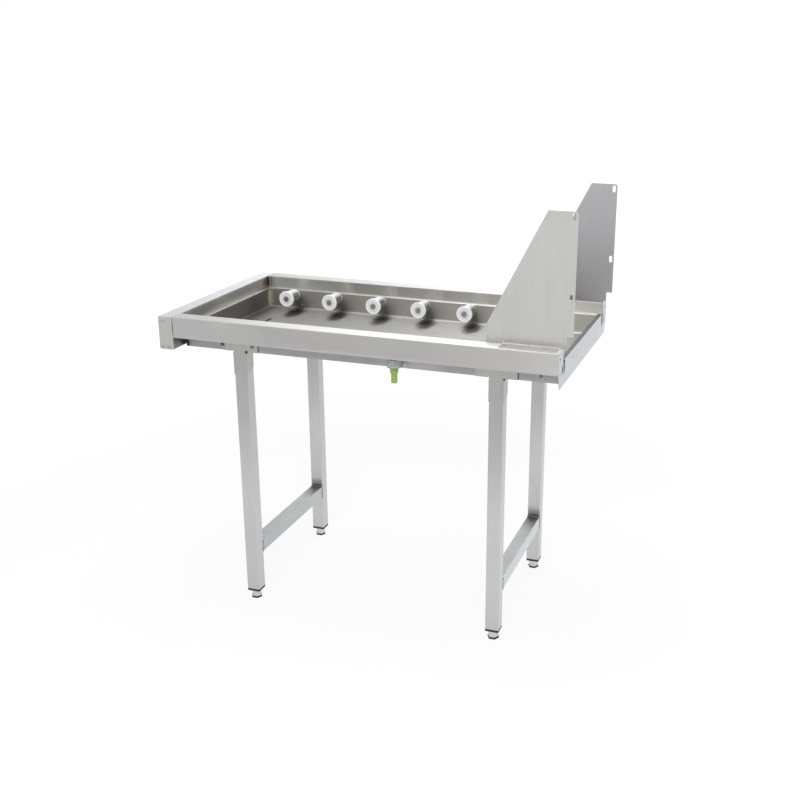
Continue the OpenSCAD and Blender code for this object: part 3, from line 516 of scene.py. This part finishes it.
# Painted shade: the rear guide's steel is a darker copy of the front guide's
dress(steel("steel_rear_guide", "z", 0.51, tint=(0.985, 0.975, 1.0), rough=0.42,
            patches=[foot_patch]),
      "side_guide_rear")
dress(steel("steel_legs", "z", 0.46, tint=(0.98, 0.985, 1.0), rough=0.42,
            marks=leg_light_and_shade + hole_shade, patches=lit_leg_sides),
      *[f"leg_{foot}" for foot in FEET])
dress(steel("steel_crossbars", "y", 0.535, tint=(0.97, 0.98, 1.0), marks=bar_shade_and_light,
            patches=shaded_bar_tops),
      "crossbar_left", "crossbar_right")
dress(steel("steel_angles", "x", 0.40, tint=(0.965, 0.96, 1.0), rough=0.52, spread=0.45,
            marks=angle_stains_light_and_shade),
      "front_angle", "rear_angle")
dress(steel("steel_brackets", "z", 0.47, marks=hole_shade), *[f"bracket_{foot}" for foot in FEET])
dress(steel("steel_tank_walls", "x", TANK, tint=(1.0, 0.965, 0.90), rough=0.46,
            marks=wall_light_and_shade + corner_marks),
      "tank_front_wall", "tank_rear_wall")
dress(steel("steel_tank_floor", "x", TANK - 0.065, tint=(1.0, 0.975, 0.935), rough=0.46,
            marks=floor_shadows),
      "tank_floor")
# Painted shade: the tank's end walls are a much darker copy of its walls' steel
dress(steel("steel_tank_ends", "y", 0.14, tint=(1.0, 0.93, 0.82), rough=0.46,
            marks=corner_marks + ledge_highlights),
      "tank_end_walls")

dress(turned("bright_steel", 0.52), "guide_washers", "roller_washers")
dress(turned("nut_steel", 0.20, rough=0.35),
      "roller_nuts", "guide_nuts", "tank_nuts", "bonding_screw")
dress(turned("washer_steel", 0.42, tint=(0.97, 0.96, 1.0), rough=0.40), "tank_washers")
dress(turned("insert_steel", 0.45, rough=0.35), "plug_inserts")
dress(turned("axle_steel", 0.45, tint=(0.97, 0.99, 1.0), rough=0.30), "roller_axles")
dress(turned("foot_steel", 0.60, rough=0.36), *[f"foot_{foot}" for foot in FEET])

dress(plastic("white_plastic", (0.85, 0.86, 0.87), (0.91, 0.92, 0.93), rough=0.36),
      "roller_spacers")
dress(roller_plastic("roller_plastic"), *ROLLERS)
dress(plastic("black_plastic", (0.008, 0.009, 0.010), (0.015, 0.016, 0.017), rough=0.55),
      "leg_plugs", *[f"foot_base_{foot}" for foot in FEET])
dress(plastic("grey_plastic", (0.29, 0.325, 0.32), (0.36, 0.39, 0.385), rough=0.35,
              marks=housing_painted_light),
      "drain_housing", "drain_ring_nut")
dress(plastic("green_plastic", (0.24, 0.40, 0.06), (0.31, 0.47, 0.09), rough=0.38), "drain_spigot")
dress(plastic("black_rubber", (0.013, 0.013, 0.013), (0.024, 0.024, 0.024), rough=0.7),
      "floor_slot_seal")
# A grey seal, made lighter as painted light against the shade it lies in
dress(plastic("grey_seal", (0.50, 0.52, 0.52), (0.58, 0.60, 0.60), rough=0.6), "drain_gaskets")

# Weld beads, each half sunk in its seam, and the oval on the drain housing

BEAD_R = 0.0016
RIPPLE = 0.0024
RIPPLE_DEPTH = 0.16
UNEVEN = 0.06
END_SHRINK = 0.45
RING = 8
RING_TURNS = [2 * math.pi * k / RING for k in range(RING)]


def new_piece(name, bm, material, body="table"):
    mesh = bpy.data.meshes.new(name)
    bmesh.ops.recalc_face_normals(bm, faces=bm.faces)
    bm.to_mesh(mesh)
    bm.free()
    mesh.shade_smooth()
    mesh.materials.append(material)
    piece = bpy.data.objects.new(name, mesh)
    bpy.context.scene.collection.objects.link(piece)
    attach(piece, body)


def add_ring(bm, centre, side, up, radius):
    return [bm.verts.new(centre + (side * math.cos(a) + up * math.sin(a)) * radius)
            for a in RING_TURNS]


def join_rings(bm, first, second):
    for k in range(RING):
        after = (k + 1) % RING
        bm.faces.new((first[k], first[after], second[after], second[k]))


def add_bead(bm, start, end, seed):
    """A rippled bead from one point to another."""
    dice = random.Random(seed)
    start, end = Vector(start), Vector(end)
    length = (end - start).length
    way = (end - start).normalized()
    side = way.orthogonal().normalized()
    up = way.cross(side)
    steps = max(4, round(length / (RIPPLE / 3)))
    rings = []
    for i in range(steps + 1):
        share = i / steps
        ripple = RIPPLE_DEPTH * math.sin(share * length * 2 * math.pi / RIPPLE)
        swell = 1 + ripple + dice.uniform(-UNEVEN, UNEVEN)
        if i in (0, steps):
            swell *= END_SHRINK
        rings.append(add_ring(bm, start.lerp(end, share), side, up, BEAD_R * swell))
    for first, second in zip(rings, rings[1:]):
        join_rings(bm, first, second)
    bm.faces.new(list(reversed(rings[0])))
    bm.faces.new(rings[-1])


def crossbar_welds():
    """Four seams round each end of both crossbars."""
    material = turned("weld_steel", 0.26, rough=0.4)
    face = LEG_Y - HALF_LEG
    low, high = (corner.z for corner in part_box("crossbar_left"))
    for seed, (end, x) in enumerate(zip(("left", "right"), LEG_XS)):
        left, right = x - HALF_LEG, x + HALF_LEG
        seams = (((left, low), (left, high)), ((right, low), (right, high)),
                 ((left, low), (right, low)), ((left, high), (right, high)))
        bm = bmesh.new()
        for y in (-face, face):
            for (x0, z0), (x1, z1) in seams:
                add_bead(bm, (x0, y, z0), (x1, y, z1), seed)
        new_piece(f"crossbar_welds_{end}", bm, material)


HOUSING_R = 0.01975
OVAL_BEARING = 0.30
OVAL_HALF_W, OVAL_HALF_H, OVAL_Z = 0.0135, 0.0062, 0.8092
OVAL_BEAD_R = 0.0011
OVAL_STEPS = 40


def drain_oval():
    """The raised oval moulding on the drain housing's front, in a paler grey that is a painted
    highlight.
    """
    points = []
    for i in range(OVAL_STEPS):
        turn = 2 * math.pi * i / OVAL_STEPS
        bearing = OVAL_BEARING + math.asin(OVAL_HALF_W * math.cos(turn) / HOUSING_R)
        points.append(Vector((X_DRAIN + HOUSING_R * math.sin(bearing),
                              Y_DRAIN - HOUSING_R * math.cos(bearing),
                              OVAL_Z + OVAL_HALF_H * math.sin(turn))))
    bm = bmesh.new()
    rings = []
    for i, centre in enumerate(points):
        way = (points[(i + 1) % OVAL_STEPS] - points[i - 1]).normalized()
        out = Vector((centre.x - X_DRAIN, centre.y - Y_DRAIN, 0)).normalized()
        side = way.cross(out).normalized()
        rings.append(add_ring(bm, centre, side, out, OVAL_BEAD_R))
    for i in range(OVAL_STEPS):
        join_rings(bm, rings[i], rings[(i + 1) % OVAL_STEPS])
    oval_highlight_grey = plastic("oval_highlight_plastic", (0.46, 0.52, 0.50), (0.54, 0.60, 0.58), rough=0.35)
    new_piece("drain_oval", bm, oval_highlight_grey)


# Studio

FLOOR_SIZE = 60.0
FLOOR_GAP = 0.0005
FLOOR_COLOUR = (0.82, 0.78, 0.78)
FLOOR_VEIL = 0.80
FLOOR_NEAR = 2.6
FLOOR_GLOW = 1.07
SKY = 0.42


def make_floor():
    """A floor that glows for the eye and in reflections, a little less near the table."""
    bm = bmesh.new()
    bmesh.ops.create_grid(bm, x_segments=1, y_segments=1, size=FLOOR_SIZE / 2)
    mesh = bpy.data.meshes.new("floor")
    bm.to_mesh(mesh)
    bm.free()
    floor = bpy.data.objects.new("floor", mesh)
    floor.location.z = cad_box[0].z - FLOOR_GAP
    bpy.context.scene.collection.objects.link(floor)
    s = Shader("floor")
    s.set(Base_Color=(*FLOOR_COLOUR, 1.0), Roughness=0.9, Specular_IOR_Level=0.0)
    path = s.tree.nodes.new("ShaderNodeLightPath")
    glow = s.tree.nodes.new("ShaderNodeEmission")
    glow.inputs["Strength"].default_value = FLOOR_GLOW
    both = s.tree.nodes.new("ShaderNodeMixShader")
    seen = s.math("MAXIMUM", path.outputs["Is Camera Ray"], path.outputs["Is Glossy Ray"])
    near = s.spot((0.0, 0.0, 0.0), (FLOOR_NEAR, FLOOR_NEAR, None), edge=0.5)
    veil = s.remap(near, 0.0, 1.0, 1.0, FLOOR_VEIL)
    s.link(s.math("MULTIPLY", seen, veil), both.inputs["Fac"])
    s.link(s.bsdf.outputs["BSDF"], both.inputs[1])
    s.link(glow.outputs["Emission"], both.inputs[2])
    s.link(both.outputs["Shader"], s.output.inputs["Surface"])
    mesh.materials.append(s.material)


def make_world():
    """A white room for the eye and in reflections, which lights the table less than it shows."""
    world = bpy.data.worlds.new("studio")
    bpy.context.scene.world = world
    world.use_nodes = True
    tree = world.node_tree
    background = tree.nodes["Background"]
    path = tree.nodes.new("ShaderNodeLightPath")
    seen = tree.nodes.new("ShaderNodeMath")
    seen.operation = "MAXIMUM"
    tree.links.new(path.outputs["Is Camera Ray"], seen.inputs[0])
    tree.links.new(path.outputs["Is Glossy Ray"], seen.inputs[1])
    strength = tree.nodes.new("ShaderNodeMapRange")
    strength.inputs["To Min"].default_value = SKY
    strength.inputs["To Max"].default_value = 1.0
    tree.links.new(seen.outputs["Value"], strength.inputs["Value"])
    tree.links.new(strength.outputs["Result"], background.inputs["Strength"])
    background.inputs["Color"].default_value = (1.0, 1.0, 1.0, 1.0)


def softbox(name, at, towards, size, power, colour=(1.0, 1.0, 1.0)):
    data = bpy.data.lights.new(name, "AREA")
    data.shape = "RECTANGLE"
    data.size, data.size_y = size
    data.energy = power
    data.color = colour
    lamp = bpy.data.objects.new(name, data)
    bpy.context.scene.collection.objects.link(lamp)
    lamp.location = at
    lamp.rotation_mode = "QUATERNION"
    lamp.rotation_quaternion = (Vector(towards) - Vector(at)).to_track_quat("-Z", "Y")


crossbar_welds()
drain_oval()
make_camera()
make_floor()
make_world()
softbox("top_light", (-0.2, 0.1, 2.7), (-0.1, 0.05, 0.8), (1.6, 1.2), 20)
softbox("back_light", (-0.6, 9.0, 3.8), (0.0, 0.0, 0.9), (9.5, 4.0), 170)
softbox("front_light", (1.0, -3.6, 3.4), (0.0, 0.0, 0.8), (2.6, 2.0), 100)
softbox("side_light", (4.6, 1.6, 1.3), (0.5, 0.0, 0.6), (3.0, 2.4), 60, (0.84, 0.92, 1.0))
bpy.context.scene.view_settings.view_transform = "Standard"
